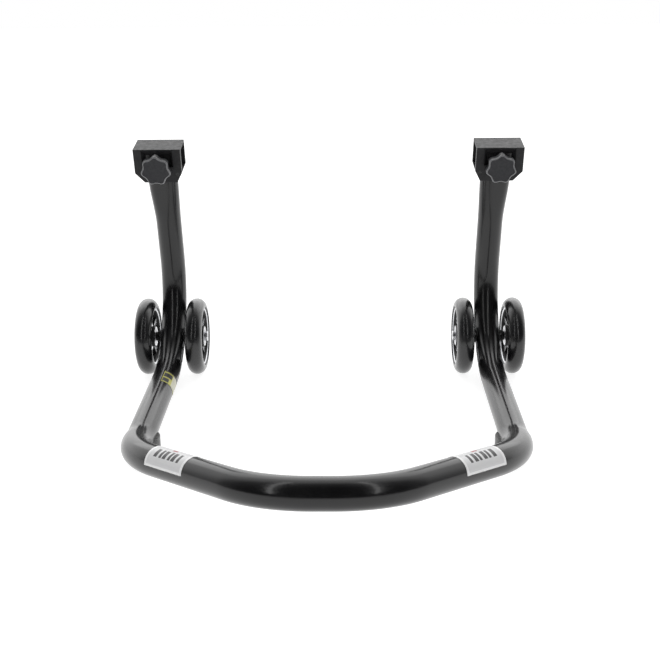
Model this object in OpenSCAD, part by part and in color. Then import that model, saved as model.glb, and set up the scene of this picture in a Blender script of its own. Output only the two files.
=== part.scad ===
// Rear paddock stand: a bent tube frame that rolls on four wheels and stands on two rubber feet,
// with a clamped receiver for a support adapter on top of each arm.
// +X is to the right, +Y points away from the handle, +Z is up.
// The origin is on the floor, in the middle of the stand.

/* [Tube frame] */
// Outer diameter of the frame tube
tube_d = 35; // [30:1:40]
// Wall thickness of the frame tube
tube_wall = 2; // [1.5:0.5:3]
// Length of each straight rail
rail_length = 170; // [150:5:220]
// Radius of the upward bend at the wheels
wheel_bend_r = 120; // [110:5:130]
// Straight length of the arm, from its bend to the receiver housing
arm_length = 124; // [110:2:150]

/* [Handle] */
// Half length of the straight piece in the middle of the handle
handle_half = 10; // [6:1:20]
// Radius of the two bends beside the middle
handle_bend_r = 122; // [100:2:140]
// Straight length of each shoulder
shoulder_length = 128; // [110:2:150]
// Radius of the corners between the shoulders and the rails
corner_r = 140; // [110:5:150]
// Angle by which the handle rises above the rails
handle_rise = 14; // [8:1:18]
// Radius of the bend that lifts the handle
rise_bend_r = 100; // [80:5:120]

/* [Flattened arm ends] */
// Width of the flattened tube end
flat_w = 41; // [39:0.5:43]
// Thickness of the flattened tube end
flat_t = 28; // [26:0.5:30]
// Sideways shift of the flattened end, away from the middle of the stand
flat_shift = 2; // [0:0.5:3]
// Length of the taper from round to flat
flat_taper = 70; // [50:5:90]

/* [Wheels] */
// Outer diameter of a wheel
wheel_d = 110; // [104:2:114]
// Width of a tyre
wheel_w = 24; // [22:1:26]
// Distance of a wheel's middle from the tube's axis
wheel_offset = 35.5; // [34:0.5:38]
// Place of the axle along the upward bend
axle_angle = 42.5; // [38:0.5:46]
// Diameter of the hub rim that carries the tyre
hub_d = 83; // [78:1:86]
// Number of spokes in a hub
spokes = 5; // [3:1:7]

/* [Receiver] */
// Width of the housing, along X
housing_w = 64; // [60:1:70]
// Height of the housing, along the arm
housing_h = 47; // [46:1:52]
// Depth of the housing, front to back
housing_t = 40; // [40:1:44]
// Sideways shift of the housing, away from the middle of the stand
housing_shift = 4; // [2:0.5:5]
// Outer size of the square steel sleeve
sleeve_size = 30; // [28:0.5:30]
// Wall of the square steel sleeve
sleeve_wall = 2.5; // [2:0.5:3]

/* [Clamp knob] */
// Outer diameter of the star knob
knob_d = 40; // [36:1:42]
// Number of lobes on the star knob
knob_lobes = 7; // [5:1:8]
// Height of the clamp screw above the housing's lower edge
knob_z = 23.5; // [22:0.5:26]
// How far the clamp screw can be screwed in
clamp_travel = 5; // [3:0.5:5]

/* [Feet] */
// Diameter of a rubber foot
foot_d = 44; // [40:1:48]
// Height of a rubber foot above the floor
foot_h = 20.5; // [16:0.5:22]

/* [Hidden] */
$fn = 96;
eps = 0.01;

// Radii and half sizes of the tube frame
tube_r = tube_d / 2;
bore_r = tube_r - tube_wall;

// Plan of the right half of the handle, in its own plane, from the middle outwards; the
// shoulders stand at 45 degrees to the middle
shoulder_angle = 45;
bend_x = handle_half + handle_bend_r * sin(shoulder_angle);
bend_y = handle_bend_r * (1 - cos(shoulder_angle));
half_gap = bend_x + shoulder_length * cos(shoulder_angle) + corner_r * (1 - sin(shoulder_angle));
corner_y = bend_y + shoulder_length * sin(shoulder_angle) + corner_r * cos(shoulder_angle);

// Side view, with the rail's start at zero and its axis at height rail_z
lift_y = -rise_bend_r * sin(handle_rise);
axle_y = rail_length + wheel_bend_r * sin(axle_angle);
axle_up = wheel_bend_r * (1 - cos(axle_angle));
rail_z = wheel_d / 2 - axle_up;
rear_y = lift_y - corner_y * cos(handle_rise) - tube_r;
front_y = rail_length + wheel_bend_r + tube_r;
middle_y = (front_y + rear_y) / 2;
spare_sweep = 6;

// The arm leans back over the rails
arm_lean = asin(0.165099);

// Axle and wheel, along X from the tube's axis
axle_r = 4;
axle_sleeve_r = 8;
axle_sleeve_bore = 4.3;
axle_sleeve_half = 21;
bearing_r = 11;
bearing_bore = 4.05;
bearing_w = 7;
core_w = 21.6;
core_r = 15;
hub_rim_w = 20;
hub_rim_t = 4.5;
gap = 0.3;
bearing_in = wheel_offset - core_w / 2;
bearing_out = wheel_offset + core_w / 2;
washer_t = 0.8;
washer_r = 7;
bush_r = 6.5;
head_r = 7;
head_t = 3;
pin_seat = bearing_out + gap + washer_t;
screw_r = 3;
screw_length = 40;

// Receiver, in the housing's own frame: z along the arm, y away from the handle
wall_top = 3;
wall_back = 3;
sleeve_z = housing_h - wall_top - sleeve_size;
sleeve_y = housing_t / 2 - wall_back - sleeve_size;
sleeve_inset = 6;
face_y = -housing_t / 2;
chamfer_z = sleeve_z - 0.7;
outer_x = housing_shift + housing_w / 2;
inner_x = housing_shift - housing_w / 2;
neck_out = flat_shift + flat_w / 2 + 1;
neck_in = flat_shift - flat_w / 2 - 2.5;
socket_gap = 0.2;
// Added to the socket's thickness: the arm is still tapering at its mouth
socket_ease = 1.4;
pocket_half_top = 21;
pocket_half = 16;
pocket_low = 22;
pocket_high = 37;
screw_z = sleeve_z - 2.5;
screw_out_x = neck_out + 2.2;
screw_in_x = neck_in - 1.2;
case_screw_r = 1.5;
case_head_r = 2.6;

// Clamp screw, along y in the housing's own frame
pad_r = 7;
pad_hole_r = pad_r + 0.4;
stud_r = 3.95;
thread_r = 4;
tip_r = 2.5;
tip_gap = 0.05;
nut_flange_r = 9.4;
nut_flange_t = 2;
nut_af = 13;
nut_t = 6.5;
knob_boss_r = 9;
knob_boss_t = 3;
knob_t = 11;
knob_gap = 0.6;
knob_back = face_y - clamp_travel - knob_gap;

// Labels
label_t = 0.3;
label_length = 68;
rail_label_length = 44;
foot_y = -2;
foot_screw_r = 3;
foot_insert_r = 4.5;

// Moves the side-view frame, which starts at the rail's start, onto the floor frame
module on_floor() {
    translate([0, -middle_y, rail_z]) children();
}

// Draws the same thing on the left, from a right-hand shape
module on_side(side) {
    if (side == "left") mirror([1, 0, 0]) children();
    else children();
}

// A straight run of round bar along +Y
module bar_y(r, length) {
    rotate([-90, 0, 0]) cylinder(h = length, r = r);
}

// A straight run of round bar along +X, between two places on the axis
module bar_x(r, from, to) {
    translate([from, 0, 0]) rotate([0, 90, 0]) cylinder(h = to - from, r = r);
}

// A straight run of frame tube along +Z
module pipe_z(length) {
    linear_extrude(length) tube_section();
}

// A straight run of frame tube along +Y
module pipe_y(length) {
    rotate([-90, 0, 0]) pipe_z(length);
}

module tube_section() {
    difference() {
        circle(r = tube_r);
        circle(r = bore_r);
    }
}

// A bend of frame tube in the XY plane around the origin
module pipe_bend(radius, start, sweep) {
    rotate_extrude(angle = sweep, start = start) translate([radius, 0]) tube_section();
}

// The block behind a cut across the tube, which trims the spare end of a bend
module behind() {
    translate([-tube_d, -tube_d, -tube_d]) cube([2 * tube_d, tube_d, 2 * tube_d]);
}

// Frames along the tube, each from the last one: y runs along the tube towards the rail
module at_rail() {
    translate([half_gap, 0, 0]) children();
}

module at_rise() {
    at_rail() translate([0, 0, rise_bend_r]) rotate([-handle_rise, 0, 0])
        translate([0, 0, -rise_bend_r]) children();
}

module at_shoulder() {
    at_rise() translate([-corner_r, 0, 0]) rotate([0, 0, shoulder_angle - 90])
        translate([corner_r, 0, 0]) children();
}

module at_middle() {
    at_shoulder() translate([-handle_bend_r, -shoulder_length, 0]) rotate([0, 0, -shoulder_angle])
        translate([handle_bend_r, 0, 0]) children();
}

// The frame of the housing on top of the arm: z runs along the arm, y away from the handle
module at_arm_top() {
    at_rail() translate([0, rail_length, wheel_bend_r]) rotate([arm_lean, 0, 0])
        translate([0, wheel_bend_r, arm_length]) children();
}

// Right half of the handle, from the middle to the end of its corner
module half_handle() {
    difference() {
        at_middle() translate([0, -2 * handle_half, 0]) pipe_y(2 * handle_half);
        translate([-tube_d, -2 * corner_y, -tube_d]) cube([tube_d, 2 * corner_y, corner_y]);
    }
    at_shoulder() translate([-handle_bend_r, -shoulder_length, 0])
        pipe_bend(handle_bend_r, -shoulder_angle, shoulder_angle);
    at_shoulder() translate([0, -shoulder_length, 0]) pipe_y(shoulder_length);
    at_rise() translate([-corner_r, 0, 0]) pipe_bend(corner_r, shoulder_angle - 90, 90 - shoulder_angle);
}

// Right rail, with the bends at both its ends
module rail_tube() {
    difference() {
        at_rail() translate([0, 0, rise_bend_r]) rotate([90, 0, 90])
            pipe_bend(rise_bend_r, -90 - handle_rise - spare_sweep, handle_rise + spare_sweep);
        at_rise() behind();
    }
    at_rail() pipe_y(rail_length);
    difference() {
        at_rail() translate([0, rail_length, wheel_bend_r]) rotate([90, 0, 90])
            pipe_bend(wheel_bend_r, -90, 90 + arm_lean + spare_sweep);
        at_arm_top() translate([-tube_d, -tube_d, -arm_length]) cube(2 * tube_d);
    }
}

// Flat oval bar along +Z, with its two long sides straight
module oval_bar(width, thickness, height) {
    reach = (width - thickness) / 2;
    for (x = [-reach, reach]) translate([x, 0, 0]) cylinder(h = height, d = thickness);
    translate([-reach, -thickness / 2, 0]) cube([2 * reach, thickness, height]);
}

// Both round edges of the flat oval along +Z, made thinner by shrink; a hull joins them
module flat_bar(shrink, from, to) {
    for (x = [-1, 1]) translate([flat_shift + x * (flat_w - flat_t) / 2, 0, from])
        cylinder(h = to - from, d = flat_t - 2 * shrink, $fn = 48);
}

// Top of the right arm: tapered from round to flat, and flat inside the housing
module arm_end() {
    color("black") on_floor() at_arm_top() difference() {
        hull() {
            translate([0, 0, -flat_taper]) cylinder(h = 1, r = tube_r, $fn = 48);
            flat_bar(0, -1, sleeve_z);
        }
        hull() {
            translate([0, 0, -flat_taper - 1]) cylinder(h = 2, r = bore_r, $fn = 48);
            flat_bar(tube_wall, -1, sleeve_z + 1);
        }
    }
}

module at_axle() {
    at_rail() translate([0, axle_y, axle_up]) children();
}

module both_sides() {
    children();
    mirror([1, 0, 0]) children();
}

module handle_tube() {
    color("black") on_floor() both_sides() half_handle();
}

// One side of the frame, from the end of the handle's corner to where the arm starts to flatten
module side_tube() {
    color("black") on_floor() difference() {
        union() {
            rail_tube();
            at_arm_top() translate([0, 0, -arm_length]) pipe_z(arm_length - flat_taper);
        }
        at_axle() bar_x(axle_sleeve_r, -axle_sleeve_half, axle_sleeve_half);
        translate([half_gap, foot_y, -tube_d]) cylinder(h = tube_d, r = foot_insert_r);
    }
}

// Steel tube welded through the bend; the axle passes through it
module axle_sleeve() {
    color("black") on_floor() at_axle() difference() {
        bar_x(axle_sleeve_r, -axle_sleeve_half, axle_sleeve_half);
        bar_x(axle_sleeve_bore, -axle_sleeve_half - 1, axle_sleeve_half + 1);
    }
}

// Smooth axle with a flanged head at its outer end and a thread for the screw at the other
module axle_pin() {
    color("silver") on_floor() at_axle() difference() {
        union() {
            bar_x(axle_r, -bearing_out, pin_seat);
            bar_x(head_r, pin_seat, pin_seat + head_t);
        }
        bar_x(screw_r, -bearing_out - 1, screw_length - bearing_out);
        socket(pin_seat + head_t);
    }
}

module axle_screw() {
    color("silver") on_floor() at_axle() difference() {
        union() {
            bar_x(screw_r, -pin_seat, screw_length - bearing_out - 2);
            bar_x(head_r, -pin_seat - head_t, -pin_seat);
        }
        socket(-pin_seat - head_t);
    }
}

// Hexagon socket cut into a head's outer face
module socket(face_x) {
    translate([face_x, 0, 0]) rotate([0, 90, 0]) cylinder(h = 4, d = 5.8, center = true, $fn = 6);
}

// A ring around the axle between two places on it
module axle_ring(outer_r, inner_r, from, to) {
    difference() {
        bar_x(outer_r, from, to);
        bar_x(inner_r, from - 1, to + 1);
    }
}

// The same ring beside both wheels of both sides
module four_rings(outer_r, inner_r, from, to) {
    on_floor() both_sides() at_axle() {
        axle_ring(outer_r, inner_r, from, to);
        mirror([1, 0, 0]) axle_ring(outer_r, inner_r, from, to);
    }
}

module axle_bushes() {
    color("dimgray") four_rings(bush_r, axle_r, axle_sleeve_half, bearing_in - gap);
}

module axle_washers() {
    color("silver") four_rings(washer_r, axle_r, bearing_out + gap, pin_seat);
}

module bearing_spacers() {
    color("dimgray")
        four_rings(5.5, axle_r, bearing_in + bearing_w + gap, bearing_out - bearing_w - gap);
}

// Places a wheel drawn around the X axis with its middle at the origin
module at_wheel(side, place) {
    out = place == "outer" ? 1 : -1;
    on_floor() on_side(side) at_axle() translate([out * wheel_offset, 0, 0]) children();
}

module tyre() {
    crown_r = wheel_w / 2 + 1;
    color("black") rotate([0, 90, 0]) rotate_extrude() difference() {
        intersection() {
            translate([wheel_d / 2 - crown_r, 0]) circle(r = crown_r);
            translate([0, -wheel_w / 2]) square([wheel_d / 2, wheel_w]);
        }
        translate([0, -wheel_w / 2]) square([hub_d / 2, wheel_w]);
    }
}

module hub() {
    rim_r = hub_d / 2;
    spoke_w = 8;
    spoke_t = 13;
    color("silver") difference() {
        union() {
            axle_ring(rim_r, rim_r - hub_rim_t, -hub_rim_w / 2, hub_rim_w / 2);
            bar_x(core_r, -core_w / 2, core_w / 2);
            for (turn = [0:spokes - 1]) rotate([turn * 360 / spokes, 0, 0])
                translate([-spoke_t / 2, -spoke_w / 2, 0]) cube([spoke_t, spoke_w, rim_r - hub_rim_t / 2]);
        }
        bar_x(bearing_r - 2, -core_w, core_w);
        for (way = [-1, 1]) translate([way * (core_w - bearing_w) / 2, 0, 0])
            bar_x(bearing_r, -bearing_w / 2 - (way < 0 ? 1 : 0), bearing_w / 2 + (way > 0 ? 1 : 0));
    }
}

// The two sealed ball bearings of one wheel
module bearings() {
    color("gray") for (way = [-1, 1]) translate([way * (core_w - bearing_w) / 2, 0, 0]) difference() {
        axle_ring(bearing_r, bearing_bore, -bearing_w / 2, bearing_w / 2);
        translate([way * bearing_w / 2, 0, 0]) axle_ring(bearing_r - 1.8, bearing_bore + 1.8, -0.5, 0.5);
    }
}

// Square steel tube welded across the arm's flat end
module receiver_sleeve() {
    color("black") on_floor() at_arm_top() difference() {
        translate([inner_x + sleeve_inset, sleeve_y, sleeve_z])
            cube([housing_w - 2 * sleeve_inset, sleeve_size, sleeve_size]);
        translate([inner_x, sleeve_y + sleeve_wall, sleeve_z + sleeve_wall])
            cube([housing_w, sleeve_size - 2 * sleeve_wall, sleeve_size - 2 * sleeve_wall]);
        at_clamp() bar_y_from(pad_hole_r, sleeve_y - 1, sleeve_y + sleeve_wall + 1);
    }
}

// Places a shape drawn around the clamp screw's axis, which runs along y
module at_clamp() {
    translate([housing_shift, 0, knob_z]) children();
}

// A round bar along y between two places
module bar_y_from(r, from, to) {
    translate([0, from, 0]) bar_y(r, to - from);
}

module weld_nut() {
    color("gray") on_floor() at_arm_top() at_clamp() difference() {
        union() {
            bar_y_from(nut_flange_r, sleeve_y - nut_flange_t, sleeve_y);
            translate([0, sleeve_y - nut_t, 0]) rotate([-90, 0, 0])
                cylinder(h = nut_t - nut_flange_t / 2, d = nut_af / cos(30), $fn = 6);
        }
        bar_y_from(thread_r, sleeve_y - nut_t - 1, sleeve_y + 1);
    }
}

// Outline of the housing seen from the handle side
module housing_outline() {
    polygon([[inner_x, housing_h], [outer_x, housing_h], [outer_x, chamfer_z], [neck_out, 0],
        [neck_in, 0], [inner_x, chamfer_z]]);
}

// The outline as a slab between two places along y
module housing_slab(from, to) {
    translate([0, to, 0]) rotate([90, 0, 0]) linear_extrude(to - from) housing_outline();
}

// Tapered recess in the front face, open to the sleeve behind it
module front_pocket() {
    depth = sleeve_y - face_y;
    translate([housing_shift, face_y, 0]) {
        translate([-pocket_half, -1, pocket_low])
            cube([2 * pocket_half, depth + 1 + eps, pocket_high - pocket_low]);
        hull() {
            translate([-pocket_half_top, -eps, pocket_low])
                cube([2 * pocket_half_top, eps, housing_h - 1.2 - pocket_low]);
            translate([-pocket_half, depth, pocket_low])
                cube([2 * pocket_half, eps, pocket_high - pocket_low]);
        }
    }
}

// Both screws that hold the back plate to the housing
module at_case_screws() {
    for (x = [screw_in_x, screw_out_x]) translate([x, 0, screw_z]) children();
}

module housing() {
    back = housing_t / 2 - wall_back;
    color("dimgray") on_floor() at_arm_top() difference() {
        housing_slab(face_y, back);
        translate([inner_x - 1, sleeve_y, sleeve_z])
            cube([housing_w + 2, sleeve_size + 1, sleeve_size]);
        translate([flat_shift, 0, -1])
            oval_bar(flat_w + 2 * socket_gap, flat_t + socket_ease, sleeve_z + 2);
        translate([flat_shift - flat_w / 2 - socket_gap, 0, -1])
            cube([flat_w + 2 * socket_gap, housing_t, sleeve_z + 2]);
        front_pocket();
        at_clamp() bar_y_from(nut_flange_r + 0.5, sleeve_y - nut_flange_t - 0.5, sleeve_y + 1);
        at_clamp() bar_y_from(nut_af / cos(30) / 2 + 0.5, face_y - 1, sleeve_y);
        at_case_screws() bar_y_from(case_screw_r, face_y - 1, housing_t);
        at_case_screws() bar_y_from(case_head_r, face_y - 1, face_y + 2);
    }
}

module back_plate() {
    color("dimgray") on_floor() at_arm_top() difference() {
        housing_slab(housing_t / 2 - wall_back, housing_t / 2);
        at_case_screws() bar_y_from(case_screw_r, 0, housing_t);
    }
}

module housing_screws() {
    color("silver") on_floor() both_sides() at_arm_top() at_case_screws() difference() {
        union() {
            bar_y_from(case_head_r, face_y + 0.4, face_y + 2);
            bar_y_from(case_screw_r, face_y + 1.9, housing_t / 2 - 0.5);
        }
        bar_y_from(1, face_y, face_y + 1.4);
    }
}

// Disc that the clamp screw presses against the adapter; it slides without turning
module pressure_pad() {
    color("gray") on_floor() at_arm_top() at_clamp() difference() {
        bar_y_from(pad_r, sleeve_y + gap, sleeve_y + sleeve_wall);
        bar_y_from(tip_r + tip_gap, sleeve_y, sleeve_y + sleeve_wall - 0.7);
    }
}

// Threaded stud moulded into the star knob
module clamp_stud() {
    color("silver") on_floor() at_arm_top() at_clamp() {
        bar_y_from(stud_r, knob_back - knob_boss_t - knob_t + 4, sleeve_y);
        bar_y_from(tip_r, sleeve_y - eps, sleeve_y + sleeve_wall - 1);
    }
}

// Outline of the star knob: a round body with a lobe at every point of the star
module knob_outline() {
    lobe_r = knob_d * 0.14;
    circle(r = knob_d * 0.43);
    for (turn = [0:knob_lobes - 1]) rotate(90 + turn * 360 / knob_lobes)
        translate([knob_d / 2 - lobe_r, 0]) circle(r = lobe_r, $fn = 48);
}

module star_knob() {
    color("dimgray") on_floor() at_arm_top() at_clamp() difference() {
        union() {
            translate([0, knob_back - knob_boss_t, 0]) rotate([90, 0, 0])
                linear_extrude(knob_t) knob_outline();
            bar_y_from(knob_boss_r, knob_back - knob_boss_t - 0.1, knob_back);
        }
        bar_y_from(stud_r, knob_back - knob_boss_t - knob_t + 4, knob_back + 1);
    }
}

// Rubber puck that grips the underside of the tube
module foot() {
    color("black") on_floor() difference() {
        translate([half_gap, foot_y, -rail_z]) cylinder(h = foot_h, d = foot_d);
        at_rail() bar_y(tube_r, foot_d);
        at_rail() translate([0, 0, rise_bend_r]) rotate([90, 0, 90])
            rotate_extrude(angle = 2 * handle_rise, start = -90 - 2 * handle_rise)
                translate([rise_bend_r, 0]) circle(r = tube_r);
        translate([half_gap, foot_y, -rail_z - 1]) cylinder(h = 4, r = 6);
        translate([half_gap, foot_y, -rail_z]) cylinder(h = rail_z, r = foot_insert_r);
    }
}

module foot_screws() {
    color("silver") on_floor() both_sides() translate([half_gap, foot_y, -rail_z]) {
        translate([0, 0, 1]) cylinder(h = 2, r = 5.5);
        translate([0, 0, 1.9]) cylinder(h = 17, r = foot_screw_r);
    }
}

// Threaded insert set in the tube's underside
module foot_inserts() {
    color("gray") on_floor() both_sides() translate([half_gap, foot_y, -rail_z + 3.5]) difference() {
        cylinder(h = 13, r = foot_insert_r);
        translate([0, 0, -1]) cylinder(h = 15, r = foot_screw_r);
    }
}

// Thin film on a stretch of bar: the part of a ring around it that faces one way
module film_outline(start, sweep) {
    difference() {
        intersection() {
            circle(r = tube_r + label_t);
            polygon([[0, 0], for (a = [0:4]) 2 * tube_r * [cos(start + a * sweep / 4), sin(start + a * sweep / 4)]]);
        }
        circle(r = tube_r);
    }
}

module shoulder_label() {
    color("lightgray") on_floor() at_shoulder() translate([0, -label_length - 2, 0])
        rotate([-90, 0, 0]) linear_extrude(label_length) film_outline(-145, 145);
}

module rail_label() {
    color("gold") on_floor() mirror([1, 0, 0])
        translate([half_gap, rail_length - rail_label_length - 12, 0]) rotate([90, 0, 180])
            linear_extrude(rail_label_length) film_outline(-15, 95);
}

handle_tube();
on_side("left") side_tube();  // left_side_tube
side_tube();  // right_side_tube
on_side("left") arm_end();  // left_arm_end
arm_end();  // right_arm_end
on_side("left") axle_sleeve();  // left_axle_sleeve
axle_sleeve();  // right_axle_sleeve
on_side("left") axle_pin();  // left_axle_pin
axle_pin();  // right_axle_pin
on_side("left") axle_screw();  // left_axle_screw
axle_screw();  // right_axle_screw
axle_bushes();
axle_washers();
bearing_spacers();
at_wheel("left", "outer") tyre();  // left_outer_tyre
at_wheel("left", "inner") tyre();  // left_inner_tyre
at_wheel("right", "inner") tyre();  // right_inner_tyre
at_wheel("right", "outer") tyre();  // right_outer_tyre
at_wheel("left", "outer") hub();  // left_outer_hub
at_wheel("left", "inner") hub();  // left_inner_hub
at_wheel("right", "inner") hub();  // right_inner_hub
at_wheel("right", "outer") hub();  // right_outer_hub
at_wheel("left", "outer") bearings();  // left_outer_bearings
at_wheel("left", "inner") bearings();  // left_inner_bearings
at_wheel("right", "inner") bearings();  // right_inner_bearings
at_wheel("right", "outer") bearings();  // right_outer_bearings
on_side("left") receiver_sleeve();  // left_receiver_sleeve
receiver_sleeve();  // right_receiver_sleeve
on_side("left") weld_nut();  // left_weld_nut
weld_nut();  // right_weld_nut
on_side("left") housing();  // left_housing
housing();  // right_housing
on_side("left") back_plate();  // left_back_plate
back_plate();  // right_back_plate
housing_screws();
on_side("left") pressure_pad();  // left_pressure_pad
pressure_pad();  // right_pressure_pad
on_side("left") clamp_stud();  // left_clamp_stud
clamp_stud();  // right_clamp_stud
on_side("left") star_knob();  // left_star_knob
star_knob();  // right_star_knob
on_side("left") foot();  // left_foot
foot();  // right_foot
foot_screws();
foot_inserts();
on_side("left") shoulder_label();  // left_shoulder_label
shoulder_label();  // right_shoulder_label
rail_label();
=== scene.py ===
"""Looks of a rear paddock stand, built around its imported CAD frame.

Shapes are made in millimetres and placed in metres, in the frame of the CAD:
+X right, +Y away from the handle, +Z up.
"""
import math

import bmesh
import bpy
from mathutils import Matrix, Vector


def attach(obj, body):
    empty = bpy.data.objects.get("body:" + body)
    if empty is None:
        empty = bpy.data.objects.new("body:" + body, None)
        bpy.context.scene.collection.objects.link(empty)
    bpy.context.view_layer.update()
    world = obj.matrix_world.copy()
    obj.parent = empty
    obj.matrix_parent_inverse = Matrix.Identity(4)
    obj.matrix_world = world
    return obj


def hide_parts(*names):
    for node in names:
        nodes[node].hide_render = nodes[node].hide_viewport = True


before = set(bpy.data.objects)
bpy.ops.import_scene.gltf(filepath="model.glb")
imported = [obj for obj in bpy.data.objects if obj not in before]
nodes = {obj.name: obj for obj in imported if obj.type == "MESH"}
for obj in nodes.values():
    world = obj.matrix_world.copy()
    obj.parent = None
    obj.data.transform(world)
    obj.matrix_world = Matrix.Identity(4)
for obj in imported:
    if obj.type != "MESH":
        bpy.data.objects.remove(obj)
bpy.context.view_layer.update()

MM = 0.001
SIDES = {"left": -1, "right": 1}
PLACES = {"outer": 1, "inner": -1}

# ------------------------------------------------ the CAD's own sizes, in mm
TUBE_R = 17.5
RAIL_LENGTH = 170.0
WHEEL_BEND_R = 120.0
ARM_LENGTH = 124.0
HANDLE_HALF = 10.0
HANDLE_BEND_R = 122.0
SHOULDER_LENGTH = 128.0
CORNER_R = 140.0
RISE_BEND_R = 100.0
AXLE_HEIGHT = 55.0
RISE = math.radians(14)
SHOULDER = math.radians(45)
LEAN = math.asin(0.165099)
FLAT_W, FLAT_T, FLAT_SHIFT, FLAT_TAPER = 41.0, 28.0, 2.0, 70.0
SLEEVE_Z = 14.0
AXLE_ANGLE = math.radians(42.5)
WHEEL_OFFSET = 35.5
HOUSING_T, HOUSING_SHIFT = 40.0, 4.0
KNOB_R, KNOB_LOBES = 20.6, 7
KNOB_Z = 23.5
KNOB_T, KNOB_BOSS_R, KNOB_BOSS_T = 11.0, 9.0, 3.0
KNOB_TRAVEL, KNOB_GAP = 5.0, 0.6
STUD_R = 4.0
SPOKES = 5
LABEL_LENGTH = 68.0
NOTICE_LENGTH = 35.0

# ------------------------------------------------ places that follow from them
KNOB_BACK = -HOUSING_T / 2 - KNOB_TRAVEL - KNOB_GAP
BEND_X = HANDLE_HALF + HANDLE_BEND_R * math.sin(SHOULDER)
BEND_Y = HANDLE_BEND_R * (1 - math.cos(SHOULDER))
HALF_GAP = BEND_X + SHOULDER_LENGTH * math.cos(SHOULDER) + CORNER_R * (1 - math.sin(SHOULDER))
CORNER_Y = BEND_Y + SHOULDER_LENGTH * math.sin(SHOULDER) + CORNER_R * math.cos(SHOULDER)
RAIL_Z = AXLE_HEIGHT - WHEEL_BEND_R * (1 - math.cos(AXLE_ANGLE))
REAR_Y = -RISE_BEND_R * math.sin(RISE) - CORNER_Y * math.cos(RISE) - TUBE_R
MIDDLE_Y = (RAIL_LENGTH + WHEEL_BEND_R + TUBE_R + REAR_Y) / 2


# ------------------------------------------------ frames along the tube
def move(x, y, z):
    return Matrix.Translation((x, y, z))


def turn(angle, axis):
    return Matrix.Rotation(angle, 4, axis)


TO_METRES = Matrix.Scale(MM, 4)
AT_RAIL = move(HALF_GAP, -MIDDLE_Y, RAIL_Z)
AT_RISE = AT_RAIL @ move(0, 0, RISE_BEND_R) @ turn(-RISE, "X") @ move(0, 0, -RISE_BEND_R)
AT_SHOULDER = (AT_RISE @ move(-CORNER_R, 0, 0) @ turn(SHOULDER - math.pi / 2, "Z")
               @ move(CORNER_R, 0, 0))
AT_MIDDLE = (AT_SHOULDER @ move(-HANDLE_BEND_R, -SHOULDER_LENGTH, 0) @ turn(-SHOULDER, "Z")
             @ move(HANDLE_BEND_R, 0, 0))
AT_ARM_TOP = (AT_RAIL @ move(0, RAIL_LENGTH, WHEEL_BEND_R) @ turn(LEAN, "X")
              @ move(0, WHEEL_BEND_R, ARM_LENGTH))
AT_AXLE = AT_RAIL @ move(0, RAIL_LENGTH + WHEEL_BEND_R * math.sin(AXLE_ANGLE),
                         WHEEL_BEND_R * (1 - math.cos(AXLE_ANGLE)))


def mirror_of(side):
    return Matrix.Scale(SIDES[side], 4, (1, 0, 0))


def at_wheel(side, place):
    return mirror_of(side) @ AT_AXLE @ move(PLACES[place] * WHEEL_OFFSET, 0, 0)


# ------------------------------------------------ mesh helpers
def add_object(name, bm, matrix=Matrix.Identity(4), body="frame"):
    """Turns a bmesh in mm into a smooth object in metres that rides on a body."""
    bmesh.ops.transform(bm, matrix=TO_METRES @ matrix, verts=bm.verts)
    if matrix.determinant() < 0:
        bmesh.ops.reverse_faces(bm, faces=bm.faces)
    for face in bm.faces:
        face.smooth = True
    mesh = bpy.data.meshes.new(name)
    bm.to_mesh(mesh)
    bm.free()
    obj = bpy.data.objects.new(name, mesh)
    bpy.context.scene.collection.objects.link(obj)
    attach(obj, body)
    return obj


def sharp_edges(obj, degrees):
    obj.data.set_sharp_from_angle(angle=math.radians(degrees))


def add_bevel(obj, width, segments, degrees):
    """Rounds the edges steeper than an angle; the width is in metres."""
    mod = obj.modifiers.new("edge_round", "BEVEL")
    mod.width = width
    mod.segments = segments
    mod.limit_method = "ANGLE"
    mod.angle_limit = math.radians(degrees)


def steps_round(count):
    return [2 * math.pi * i / count for i in range(count)]


def bridge_rings(bm, rings, closed=False):
    """Quads between rings of vertices, each a closed loop."""
    pairs = list(zip(rings, rings[1:]))
    if closed:
        pairs.append((rings[-1], rings[0]))
    for a, b in pairs:
        n = len(a)
        for i in range(n):
            j = (i + 1) % n
            bm.faces.new((a[i], a[j], b[j], b[i]))


def cap_ends(bm, rings):
    bm.faces.new(rings[0])
    bm.faces.new(list(reversed(rings[-1])))


def lathe(bm, profile, steps):
    """Turns a closed profile of (radius, height along X) points around the X axis."""
    rings = [[bm.verts.new((x, radius * math.cos(a), radius * math.sin(a)))
              for a in steps_round(steps)] for radius, x in profile]
    bridge_rings(bm, rings, closed=True)


def fix_normals(bm):
    bmesh.ops.recalc_face_normals(bm, faces=bm.faces)


# ------------------------------------------------ materials
FINE_BUMP = 0.0002
GRAIN_BUMP = 0.0004
NOISE_LOW, NOISE_HIGH = 0.35, 0.65


def new_material(name):
    mat = bpy.data.materials.new(name)
    mat.use_nodes = True
    tree = mat.node_tree
    return mat, tree, tree.nodes["Principled BSDF"]


def noise_factor(tree, coords, scale, detail):
    noise = tree.nodes.new("ShaderNodeTexNoise")
    noise.inputs["Scale"].default_value = scale
    noise.inputs["Detail"].default_value = detail
    tree.links.new(coords.outputs["Object"], noise.inputs["Vector"])
    return noise.outputs["Fac"]


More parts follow.
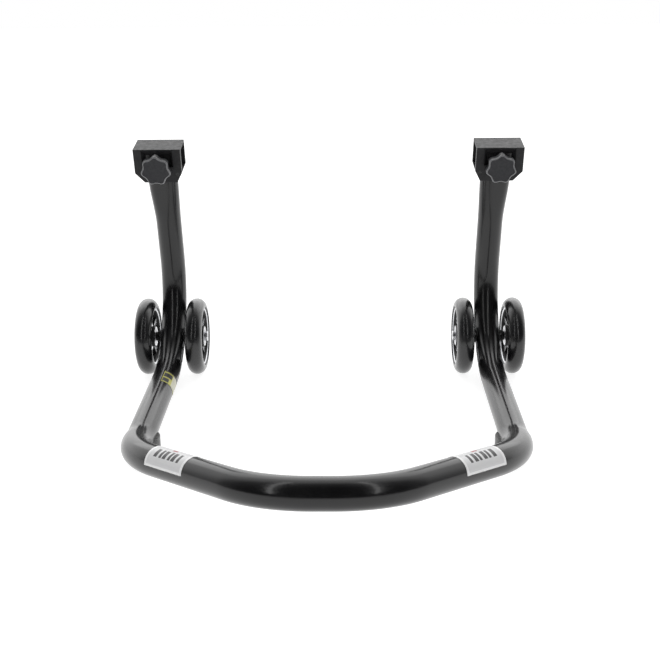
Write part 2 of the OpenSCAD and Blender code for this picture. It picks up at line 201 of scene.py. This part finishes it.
def noise_bump(tree, shader, scale, strength, distance=FINE_BUMP, detail=4.0):
    """A fine noise in the surface. Returns the coordinates, for more noises."""
    coords = tree.nodes.new("ShaderNodeTexCoord")
    factor = noise_factor(tree, coords, scale, detail)
    bump = tree.nodes.new("ShaderNodeBump")
    bump.inputs["Strength"].default_value = strength
    bump.inputs["Distance"].default_value = distance
    tree.links.new(factor, bump.inputs["Height"])
    tree.links.new(bump.outputs["Normal"], shader.inputs["Normal"])
    return coords


def vary_roughness(tree, coords, shader, scale, low, high):
    """Takes the roughness between two values with a soft noise."""
    span = tree.nodes.new("ShaderNodeMapRange")
    span.inputs["From Min"].default_value = NOISE_LOW
    span.inputs["From Max"].default_value = NOISE_HIGH
    span.inputs["To Min"].default_value = low
    span.inputs["To Max"].default_value = high
    tree.links.new(noise_factor(tree, coords, scale, 3.0), span.inputs["Value"])
    tree.links.new(span.outputs["Result"], shader.inputs["Roughness"])


def vary_colour(tree, coords, shader, scale, dark, light):
    """Takes the base colour between two colours with a soft noise."""
    ramp = tree.nodes.new("ShaderNodeValToRGB")
    low, high = ramp.color_ramp.elements
    low.position, low.color = NOISE_LOW, (*dark, 1)
    high.position, high.color = NOISE_HIGH, (*light, 1)
    tree.links.new(noise_factor(tree, coords, scale, 5.0), ramp.inputs["Fac"])
    tree.links.new(ramp.outputs["Color"], shader.inputs["Base Color"])


def gloss_black():
    mat, tree, shader = new_material("gloss_black_coat")
    shader.inputs["Specular IOR Level"].default_value = 0.38
    shader.inputs["Coat Weight"].default_value = 0.2
    shader.inputs["Coat Roughness"].default_value = 0.1
    coords = noise_bump(tree, shader, 420, 0.012)
    vary_roughness(tree, coords, shader, 30, 0.19, 0.24)
    vary_colour(tree, coords, shader, 60, (0.006, 0.006, 0.0065), (0.009, 0.009, 0.0095))
    return mat


def tyre_gloss():
    mat, tree, shader = new_material("polyurethane_black")
    shader.inputs["Coat Weight"].default_value = 0.3
    shader.inputs["Coat Roughness"].default_value = 0.1
    coords = noise_bump(tree, shader, 900, 0.008)
    vary_roughness(tree, coords, shader, 60, 0.25, 0.29)
    vary_colour(tree, coords, shader, 120, (0.006, 0.006, 0.0065), (0.011, 0.011, 0.012))
    return mat


def grained_plastic(name, dark, light, rough, grain=1500, depth=0.25, specular=0.5):
    """A matt or satin surface; rough is its lowest and highest roughness."""
    mat, tree, shader = new_material(name)
    shader.inputs["Specular IOR Level"].default_value = specular
    coords = noise_bump(tree, shader, grain, depth, GRAIN_BUMP, 6.0)
    vary_roughness(tree, coords, shader, 200, *rough)
    vary_colour(tree, coords, shader, 350, dark, light)
    return mat


def bare_metal(name, dark, light, rough):
    mat, tree, shader = new_material(name)
    shader.inputs["Metallic"].default_value = 1.0
    coords = noise_bump(tree, shader, 300, 0.12, FINE_BUMP, 6.0)
    vary_roughness(tree, coords, shader, 250, *rough)
    vary_colour(tree, coords, shader, 180, dark, light)
    return mat


PAINT = gloss_black()
TYRE = tyre_gloss()
CASE = grained_plastic("case_nylon", (0.009, 0.009, 0.010), (0.015, 0.015, 0.0165),
                       (0.4, 0.52), specular=0.28)
KNOB = grained_plastic("knob_plastic", (0.018, 0.0185, 0.021), (0.026, 0.0265, 0.030),
                       (0.42, 0.52), grain=2200, specular=0.3)
# Light grey for the knob's front chamfer: a painted highlight of its edge.
KNOB_RIM_HIGHLIGHT = grained_plastic("knob_front_painted_highlight", (0.15, 0.151, 0.156), (0.19, 0.191, 0.197),
                           (0.28, 0.36), grain=2200, depth=0.08)
RUBBER = grained_plastic("foot_rubber", (0.05, 0.05, 0.05), (0.07, 0.07, 0.07),
                         (0.22, 0.32), grain=900, depth=0.1)
ZINC = bare_metal("zinc_plated_steel", (0.55, 0.56, 0.58), (0.7, 0.7, 0.71), (0.22, 0.34))
STEEL = bare_metal("bearing_steel", (0.42, 0.42, 0.44), (0.55, 0.55, 0.57), (0.25, 0.38))
ALLOY = bare_metal("hub_alloy", (0.6, 0.61, 0.63), (0.72, 0.73, 0.75), (0.2, 0.32))
# Black hub colour: painted shade for the spokes and walls inside the hub's voids.
HUB_VOID_SHADE = grained_plastic("hub_painted_void_shade", (0.010, 0.010, 0.0105), (0.018, 0.018, 0.019),
                          (0.35, 0.5), grain=900, depth=0.15)
BLACK_STEEL = grained_plastic("black_steel", (0.008, 0.008, 0.0085), (0.014, 0.014, 0.015),
                              (0.25, 0.38), grain=1200, depth=0.1)


def paint(obj, mat):
    obj.data.materials.clear()
    obj.data.materials.append(mat)


def paint_faces(obj, mat, chosen):
    """Gives the chosen faces a second material."""
    obj.data.materials.append(mat)
    for face in obj.data.polygons:
        if chosen(face):
            face.material_index = 1


# ------------------------------------------------ the bent tube, one smooth sweep
def half_path():
    """(frame matrix, flatness) from the middle of the handle to the top of the right arm.

    In each frame the section lies in its XZ plane and the tube runs along +Y."""
    steps = []

    def along(base, length, count):
        for i in range(1, count + 1):
            steps.append((base @ move(0, length * i / count, 0), 0.0))

    def bend(base, radius, sweep, axis, count):
        """Round Z the bend turns to the frame's left, and round X it turns upward."""
        centre = (-radius, 0, 0) if axis == "Z" else (0, 0, radius)
        out, back = move(*centre), move(*(-c for c in centre))
        for i in range(1, count + 1):
            steps.append((base @ out @ turn(sweep * i / count, axis) @ back, 0.0))

    handle_start = AT_MIDDLE @ move(0, -HANDLE_HALF, 0)
    steps.append((handle_start, 0.0))
    along(handle_start, HANDLE_HALF, 2)
    bend(AT_MIDDLE, HANDLE_BEND_R, SHOULDER, "Z", 24)
    along(AT_SHOULDER @ move(0, -SHOULDER_LENGTH, 0), SHOULDER_LENGTH, 12)
    bend(AT_SHOULDER, CORNER_R, math.pi / 2 - SHOULDER, "Z", 24)
    bend(AT_RISE, RISE_BEND_R, RISE, "X", 10)
    along(AT_RAIL, RAIL_LENGTH, 16)
    bend(AT_RAIL @ move(0, RAIL_LENGTH, 0), WHEEL_BEND_R, math.pi / 2 + LEAN, "X", 54)
    stand = AT_ARM_TOP @ turn(math.pi / 2, "X")
    along(stand @ move(0, -ARM_LENGTH, 0), ARM_LENGTH - FLAT_TAPER, 12)
    taper_steps = 28
    for i in range(1, taper_steps + 1):
        flat = i / taper_steps
        steps.append((stand @ move(0, -FLAT_TAPER * (1 - flat), 0), flat))
    steps.append((stand @ move(0, SLEEVE_Z, 0), 1.0))
    return steps


def section(flat, count=72):
    """Section between a round tube (0) and its flat oval end (1), in mm."""
    ease = flat * flat * (3 - 2 * flat)
    radius = TUBE_R + (FLAT_T / 2 - TUBE_R) * ease
    reach = (FLAT_W - FLAT_T) / 2 * ease
    points = []
    for a in steps_round(count):
        c = math.cos(a)
        side = max(-1.0, min(1.0, c * 6))
        points.append((FLAT_SHIFT * ease + radius * c + reach * side, radius * math.sin(a)))
    return points


def build_tube():
    right = [[matrix @ Vector((x, 0, z)) for x, z in section(flat)]
             for matrix, flat in half_path()]
    left = [[Vector((-p.x, p.y, p.z)) for p in ring] for ring in reversed(right[1:])]
    bm = bmesh.new()
    rings = [[bm.verts.new(p) for p in ring] for ring in left + right]
    bridge_rings(bm, rings)
    cap_ends(bm, rings)
    fix_normals(bm)
    obj = add_object("frame_tube", bm)
    sharp_edges(obj, 50)
    paint(obj, PAINT)
    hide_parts("handle_tube", "left_side_tube", "right_side_tube",
                "left_arm_end", "right_arm_end")


build_tube()

# ------------------------------------------------ weld beads around the axle sleeves
BEAD_RING_R = 8.4
BEAD_R, BEAD_RIPPLE, BEAD_RIPPLES = 1.7, 0.16, 30


def weld_bead(side, place):
    """A rippled bead where the axle sleeve leaves the bent tube."""
    way = PLACES[place]
    axis = Vector((way, 0, 0))
    bm = bmesh.new()
    rings = []
    for a in steps_round(120):
        u, v = BEAD_RING_R * math.cos(a), BEAD_RING_R * math.sin(a)
        centre = Vector((way * math.sqrt(TUBE_R ** 2 - v ** 2),
                         u * math.cos(AXLE_ANGLE) - v * math.sin(AXLE_ANGLE),
                         u * math.sin(AXLE_ANGLE) + v * math.cos(AXLE_ANGLE)))
        out = Vector((0, centre.y, centre.z)).normalized()
        size = BEAD_R + BEAD_RIPPLE * math.cos(BEAD_RIPPLES * a)
        rings.append([bm.verts.new(centre + size * (math.cos(b) * out + math.sin(b) * axis))
                      for b in steps_round(10)])
    bridge_rings(bm, rings, closed=True)
    fix_normals(bm)
    obj = add_object(f"{side}_weld_{place}", bm, mirror_of(side) @ AT_AXLE)
    paint(obj, PAINT)


for side in SIDES:
    for place in ("inner", "outer"):
        weld_bead(side, place)

# ------------------------------------------------ wheels
TYRE_SEAT_R, TYRE_SEAT_X = 41.6, 10.6
TREAD_RING_R, TREAD_R, TREAD_HALF_W = 43.4, 11.6, 12.0
TREAD_SWEEP, TREAD_STEPS = 97, 40
HUB_RIM = [(41.5, -10), (41.5, 10), (40.6, 10.4), (38.6, 10.4), (37.6, 9.6), (37.0, 7.5),
           (36.8, 0), (37.0, -7.5), (37.6, -9.6), (38.6, -10.4), (40.6, -10.4)]
HUB_CORE = [(11.05, -10.8), (14.0, -10.8), (14.8, -10.0), (15.4, -6.0), (15.8, 0),
            (15.4, 6.0), (14.8, 10.0), (14.0, 10.8), (11.05, 10.8), (11.05, 3.8), (9.0, 3.8),
            (9.0, -3.8), (11.05, -3.8)]
SPOKE_START, SPOKE_END, SPOKE_ROWS = 13.2, 38.6, 10
MACHINED_TILT = 0.75


def tyre_profile():
    """(radius, height) points of a round polyurethane tyre."""
    points = [(TYRE_SEAT_R, -TYRE_SEAT_X)]
    for i in range(TREAD_STEPS + 1):
        a = math.radians(-TREAD_SWEEP + 2 * TREAD_SWEEP * i / TREAD_STEPS)
        points.append((TREAD_RING_R + TREAD_R * math.cos(a), TREAD_HALF_W * math.sin(a)))
    return points + [(TYRE_SEAT_R, TYRE_SEAT_X), (TYRE_SEAT_R, 0)]


def build_tyre(side, place):
    bm = bmesh.new()
    lathe(bm, tyre_profile(), 144)
    fix_normals(bm)
    obj = add_object(f"{side}_{place}_tyre_skin", bm, at_wheel(side, place),
                     f"{side}_{place}_wheel")
    sharp_edges(obj, 50)
    paint(obj, TYRE)
    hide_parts(f"{side}_{place}_tyre")


def spoke(bm, angle):
    """One web between the hub's core and rim: wide at both ends, waisted between them."""
    rows = []
    for i in range(SPOKE_ROWS + 1):
        f = i / SPOKE_ROWS
        r = SPOKE_START + (SPOKE_END - SPOKE_START) * f
        w = 3.1 + 3.0 * (2 * f - 1) ** 4 + 0.5 * f
        t = 6.6 - 1.6 * math.sin(math.pi * f)
        inner_t, wide = t * 0.55, w + 0.7
        outline = ((-t, -w), (-inner_t, -wide), (inner_t, -wide), (t, -w),
                   (t, w), (inner_t, wide), (-inner_t, wide), (-t, w))
        rows.append([bm.verts.new((x, y, r)) for x, y in outline])
    bridge_rings(bm, rows)
    cap_ends(bm, rows)
    bmesh.ops.rotate(bm, cent=(0, 0, 0), matrix=Matrix.Rotation(angle, 3, "X"),
                     verts=[v for row in rows for v in row])


def build_hub(side, place):
    """Bright alloy on the faces turned sideways; all other faces black, painted shade for the
    walls of the spoke voids.
    """
    bm = bmesh.new()
    lathe(bm, HUB_RIM, 120)
    lathe(bm, HUB_CORE, 96)
    for angle in steps_round(SPOKES):
        spoke(bm, angle)
    fix_normals(bm)
    obj = add_object(f"{side}_{place}_hub_casting", bm, at_wheel(side, place),
                     f"{side}_{place}_wheel")
    sharp_edges(obj, 35)
    add_bevel(obj, 0.0005, 2, 32)
    # The black on the spoke sides and inner walls is painted shade; the sideways faces get
    # bright alloy.
    paint(obj, HUB_VOID_SHADE)
    paint_faces(obj, ALLOY, lambda face: abs(face.normal.x) > MACHINED_TILT)
    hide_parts(f"{side}_{place}_hub")


for side in SIDES:
    for place in PLACES:
        build_tyre(side, place)
        build_hub(side, place)


# ------------------------------------------------ star knobs
def knob_radius(angle):
    """Outline of the star: pointed lobes with hollow flanks between them, one lobe on top."""
    near = 0.5 + 0.5 * math.cos((angle - math.pi / 2) * KNOB_LOBES)
    return KNOB_R * (0.855 + 0.145 * near ** 1.25)


def build_knob(side):
    count = KNOB_LOBES * 32
    back = KNOB_BACK - KNOB_BOSS_T
    front = back - KNOB_T
    dish = front + 0.45
    bm = bmesh.new()

    def ring(radius, y):
        """A ring round the knob's axis; radius is a function of the angle."""
        return [bm.verts.new((radius(a) * math.cos(a), y, radius(a) * math.sin(a)))
                for a in steps_round(count)]

    def circle(radius, y):
        return ring(lambda a: radius, y)

    rows = [(0.90, back), (0.965, back - 0.3), (1.0, back - 1.4), (1.0, front + 1.9),
            (0.985, front + 0.9), (0.93, front + 0.1), (0.90, front), (0.885, front + 0.35),
            (0.85, dish)]
    rings = [ring(lambda a: knob_radius(a) * scale, y) for scale, y in rows]
    bridge_rings(bm, rings)
    for scale in (0.6, 0.3):
        rings.append(ring(lambda a: knob_radius(a) * scale * 0.86 + (1 - scale) * 2, dish))
        bridge_rings(bm, rings[-2:])
    bm.faces.new(rings[-1])
    foot = circle(KNOB_BOSS_R, back)
    boss = circle(KNOB_BOSS_R - 0.2, KNOB_BACK)
    bore = circle(STUD_R, KNOB_BACK)
    deep = circle(STUD_R, KNOB_BACK - 10)
    for pair in ((foot, rings[0]), (boss, foot), (bore, boss), (deep, bore)):
        bridge_rings(bm, pair)
    bm.faces.new(deep)
    fix_normals(bm)
    obj = add_object(f"{side}_knob_grip", bm,
                     mirror_of(side) @ AT_ARM_TOP @ move(HOUSING_SHIFT, 0, KNOB_Z),
                     f"{side}_knob")
    sharp_edges(obj, 32)
    paint(obj, KNOB)
    # Faces round the front chamfer take the light grey painted highlight.
    paint_faces(obj, KNOB_RIM_HIGHLIGHT, lambda face: 3 * count <= face.index < 6 * count)
    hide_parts(f"{side}_star_knob")


for side in SIDES:
    build_knob(side)


# ------------------------------------------------ labels, with no lettering
def film(name, matrix, start, sweep, length, thick=0.28, lift=0.02):
    """A curved film on the tube: its length runs along the frame's Y."""
    bm = bmesh.new()
    uv = bm.loops.layers.uv.new("UVMap")
    around, along = 40, 24
    radii = (TUBE_R + lift, TUBE_R + lift + thick)
    angles = [math.radians(start + sweep * i / around) for i in range(around + 1)]
    low, high = [[[bm.verts.new((r * math.cos(a), length * j / along, r * math.sin(a)))
                   for a in angles] for j in range(along + 1)] for r in radii]

    def quad(points, coords):
        face = bm.faces.new(points)
        for loop, c in zip(face.loops, coords):
            loop[uv].uv = c

    for sheet in (low, high):
        for j in range(along):
            for i in range(around):
                corners = ((j, i), (j, i + 1), (j + 1, i + 1), (j + 1, i))
                quad([sheet[q][p] for q, p in corners],
                     [(q / along, p / around) for q, p in corners])
    edge = []
    for i in range(around):
        edge += [((j, i), (j, i + 1)) for j in (0, along)]
    for j in range(along):
        edge += [((j, i), (j + 1, i)) for i in (0, around)]
    for (j0, i0), (j1, i1) in edge:
        quad((low[j0][i0], low[j1][i1], high[j1][i1], high[j0][i0]), ((0.0, 0.0),) * 4)
    fix_normals(bm)
    obj = add_object(name, bm, matrix)
    sharp_edges(obj, 40)
    return obj


def uv_parts(tree):
    coords = tree.nodes.new("ShaderNodeTexCoord")
    split = tree.nodes.new("ShaderNodeSeparateXYZ")
    tree.links.new(coords.outputs["UV"], split.inputs[0])
    return split.outputs["X"], split.outputs["Y"]


def math_node(tree, op, a, b):
    """A Math node; a and b are numbers or sockets."""
    node = tree.nodes.new("ShaderNodeMath")
    node.operation = op
    for socket, value in zip(node.inputs, (a, b)):
        if isinstance(value, (int, float)):
            socket.default_value = value
        else:
            tree.links.new(value, socket)
    return node.outputs[0]


def inside(tree, value, low, high):
    return math_node(tree, "MULTIPLY", math_node(tree, "GREATER_THAN", value, low),
                     math_node(tree, "LESS_THAN", value, high))


def rectangle(tree, u, v, u0, u1, v0, v1):
    return math_node(tree, "MULTIPLY", inside(tree, u, u0, u1), inside(tree, v, v0, v1))


def any_of(tree, masks):
    total = masks[0]
    for mask in masks[1:]:
        total = math_node(tree, "MAXIMUM", total, mask)
    return total


def mix_colour(tree, mask, a, b):
    """A where the mask is 0 and b where it is 1; a and b are colours or sockets."""
    node = tree.nodes.new("ShaderNodeMix")
    node.data_type = "RGBA"
    tree.links.new(mask, node.inputs["Factor"])
    for socket, value in ((node.inputs[6], a), (node.inputs[7], b)):
        if isinstance(value, tuple):
            socket.default_value = (*value, 1)
        else:
            tree.links.new(value, socket)
    return node.outputs[2]


def film_finish(tree, shader, colour, rough):
    tree.links.new(colour, shader.inputs["Base Color"])
    coords = noise_bump(tree, shader, 700, 0.05)
    vary_roughness(tree, coords, shader, 90, *rough)


def label_material():
    """Pale film with a white border, one dark block pattern and a small red tab."""
    mat, tree, shader = new_material("shoulder_label_film")
    u, v = uv_parts(tree)
    panel = rectangle(tree, u, v, 0.05, 0.95, 0.06, 0.93)
    blocks = []
    for i in range(6):
        start = 0.17 + 0.115 * i
        wide = 0.085 if i % 2 else 0.06
        blocks.append(rectangle(tree, u, v, start, start + wide, 0.27, 0.53))
    base = mix_colour(tree, panel, (0.92, 0.92, 0.92), (0.72, 0.72, 0.725))
    marked = mix_colour(tree, any_of(tree, blocks), base, (0.03, 0.03, 0.032))
    tab = rectangle(tree, u, v, 0.43, 0.56, 0.60, 0.66)
    film_finish(tree, shader, mix_colour(tree, tab, marked, (0.4, 0.06, 0.07)), (0.32, 0.42))
    return mat


def notice_material():
    """Yellow and black blocks beside a cream field with faint lines."""
    mat, tree, shader = new_material("rail_label_film")
    u, v = uv_parts(tree)
    cream = math_node(tree, "GREATER_THAN", v, 0.5)
    black = any_of(tree, [rectangle(tree, u, v, 0.9, 1.0, 0.02, 0.98),
                          rectangle(tree, u, v, 0.46, 0.8, 0.03, 0.46),
                          rectangle(tree, u, v, 0.06, 0.36, 0.03, 0.34)])
    lines = any_of(tree, [rectangle(tree, u, v, 0.08 + 0.15 * i, 0.12 + 0.15 * i, 0.56, 0.92)
                          for i in range(5)])
    base = mix_colour(tree, cream, (0.5, 0.48, 0.1), (0.6, 0.59, 0.45))
    barred = mix_colour(tree, black, base, (0.015, 0.015, 0.015))
    film_finish(tree, shader, mix_colour(tree, lines, barred, (0.42, 0.42, 0.34)), (0.35, 0.45))
    return mat


LABEL = label_material()
NOTICE = notice_material()
for side in SIDES:
    obj = film(f"{side}_shoulder_film", mirror_of(side) @ AT_SHOULDER @ move(0, -70, 0),
               0, 145, LABEL_LENGTH)
    paint(obj, LABEL)
    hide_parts(f"{side}_shoulder_label")
obj = film("rail_film", mirror_of("left") @ AT_RAIL @ move(0, RAIL_LENGTH - 47, 0),
           100, 95, NOTICE_LENGTH)
paint(obj, NOTICE)
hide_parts("rail_label")

# ------------------------------------------------ CAD nodes that stay: finish and rounding
MERGE_DISTANCE = 0.000002


def dress(name, mat, width=0.0, segments=2):
    """A material, and an edge rounding of a width in metres on merged flat faces."""
    obj = nodes[name]
    paint(obj, mat)
    weld = obj.modifiers.new("weld", "WELD")
    weld.merge_threshold = MERGE_DISTANCE
    if width:
        merge = obj.modifiers.new("merge_flat", "DECIMATE")
        merge.decimate_type = "DISSOLVE"
        merge.angle_limit = math.radians(1)
        add_bevel(obj, width, segments, 34)
    normals = obj.modifiers.new("flat_faces", "WEIGHTED_NORMAL")
    normals.keep_sharp = True
    normals.weight = 80


for side in SIDES:
    dress(f"{side}_housing", CASE, 0.0007, 3)
    dress(f"{side}_back_plate", CASE, 0.0007, 3)
    dress(f"{side}_receiver_sleeve", BLACK_STEEL, 0.0004)
    dress(f"{side}_axle_sleeve", PAINT)
    dress(f"{side}_axle_pin", ZINC, 0.0004)
    dress(f"{side}_axle_screw", ZINC, 0.0004)
    dress(f"{side}_weld_nut", ZINC, 0.0003)
    dress(f"{side}_pressure_pad", ZINC, 0.0003)
    dress(f"{side}_clamp_stud", ZINC)
    dress(f"{side}_foot", RUBBER, 0.0012, 3)
    for place in PLACES:
        dress(f"{side}_{place}_bearings", STEEL, 0.0002)
for name in ("axle_washers", "foot_screws", "foot_inserts"):
    dress(name, ZINC, 0.0002)
for name in ("axle_bushes", "bearing_spacers", "housing_screws"):
    dress(name, BLACK_STEEL, 0.0002)

# ------------------------------------------------ floor, light and camera, in metres
FLOOR_HALF, FLOOR_Z = 7.0, -0.0002
FLOOR_GREY, FLOOR_GLOW = 0.45, 0.86
DARK_ROOM, MIDDLE_ROOM = (0.03, 0.03, 0.031, 1), (0.14, 0.14, 0.142, 1)
WHITE = (1, 1, 1, 1)
BACKDROP_STRENGTH = 1.5
CAMERA_PLACE = (0.0235, -1.1247, 0.5814)
CAMERA_PITCH, CAMERA_YAW, CAMERA_ROLL = 20.94, -0.98, -0.51
SENSOR_WIDTH, LENS = 36.0, 54.545


def build_floor():
    bm = bmesh.new()
    bmesh.ops.create_grid(bm, x_segments=1, y_segments=1, size=FLOOR_HALF)
    mesh = bpy.data.meshes.new("floor")
    bm.to_mesh(mesh)
    bm.free()
    floor = bpy.data.objects.new("floor", mesh)
    floor.location.z = FLOOR_Z
    bpy.context.scene.collection.objects.link(floor)
    mat, _, shader = new_material("pale_floor")
    shader.inputs["Base Color"].default_value = (FLOOR_GREY, FLOOR_GREY, FLOOR_GREY, 1)
    shader.inputs["Roughness"].default_value = 0.9
    shader.inputs["Specular IOR Level"].default_value = 0.1
    shader.inputs["Emission Color"].default_value = WHITE
    shader.inputs["Emission Strength"].default_value = FLOOR_GLOW
    paint(floor, mat)


def build_world():
    """A bright backdrop behind the stand that falls off to a dark room behind the camera.

    Seen straight on, the surroundings are plain and pale from every side."""
    world = bpy.data.worlds.new("studio")
    bpy.context.scene.world = world
    world.use_nodes = True
    tree = world.node_tree
    coords = tree.nodes.new("ShaderNodeTexCoord")
    split = tree.nodes.new("ShaderNodeSeparateXYZ")
    tree.links.new(coords.outputs["Generated"], split.inputs[0])
    ramp = tree.nodes.new("ShaderNodeValToRGB")
    half = math_node(tree, "MULTIPLY", split.outputs["Y"], 0.5)
    tree.links.new(math_node(tree, "ADD", half, 0.5), ramp.inputs["Fac"])
    stops = ramp.color_ramp
    stops.interpolation = "EASE"
    dark, bright = stops.elements
    dark.position, dark.color = 0.30, DARK_ROOM
    bright.position, bright.color = 0.72, WHITE
    stops.elements.new(0.48).color = MIDDLE_ROOM
    background = tree.nodes["Background"]
    tree.links.new(ramp.outputs["Color"], background.inputs["Color"])
    background.inputs["Strength"].default_value = BACKDROP_STRENGTH
    plain = tree.nodes.new("ShaderNodeBackground")
    plain.inputs["Color"].default_value = WHITE
    path = tree.nodes.new("ShaderNodeLightPath")
    mix = tree.nodes.new("ShaderNodeMixShader")
    tree.links.new(path.outputs["Is Camera Ray"], mix.inputs[0])
    tree.links.new(background.outputs[0], mix.inputs[1])
    tree.links.new(plain.outputs[0], mix.inputs[2])
    tree.links.new(mix.outputs[0], tree.nodes["World Output"].inputs["Surface"])


def area_light(name, location, target, size, power):
    data = bpy.data.lights.new(name, "AREA")
    data.shape = "RECTANGLE"
    data.size, data.size_y = size
    data.energy = power
    light = bpy.data.objects.new(name, data)
    light.location = location
    way = Vector(target) - Vector(location)
    light.rotation_euler = way.to_track_quat("-Z", "Y").to_euler()
    bpy.context.scene.collection.objects.link(light)
    light.visible_camera = False


def build_lights():
    area_light("back_box", (0, 2.3, 1.7), (0, 0, 0.1), (4.6, 2.4), 30)
    for way in (-1, 1):
        area_light(f"side_strip_{way}", (way * 0.36, -0.36, 0.75), (way * 0.228, 0.25, 0.2),
                   (0.05, 1.3), 1.0)


def build_camera():
    data = bpy.data.cameras.new("camera")
    data.sensor_width = SENSOR_WIDTH
    data.lens = LENS
    data.clip_start = 0.01
    cam = bpy.data.objects.new("camera", data)
    pitch, yaw, roll = (math.radians(a) for a in (CAMERA_PITCH, CAMERA_YAW, CAMERA_ROLL))
    way = Vector((math.sin(yaw) * math.cos(pitch), math.cos(yaw) * math.cos(pitch),
                  -math.sin(pitch)))
    level = way.cross(Vector((0, 0, 1))).normalized()
    high = level.cross(way)
    right = math.cos(roll) * level + math.sin(roll) * high
    up = -math.sin(roll) * level + math.cos(roll) * high
    rotation = Matrix((right, up, -way)).transposed().to_4x4()
    cam.matrix_world = Matrix.Translation(CAMERA_PLACE) @ rotation
    bpy.context.scene.collection.objects.link(cam)
    bpy.context.scene.camera = cam


build_floor()
build_world()
build_lights()
build_camera()
bpy.context.scene.view_settings.view_transform = "Standard"
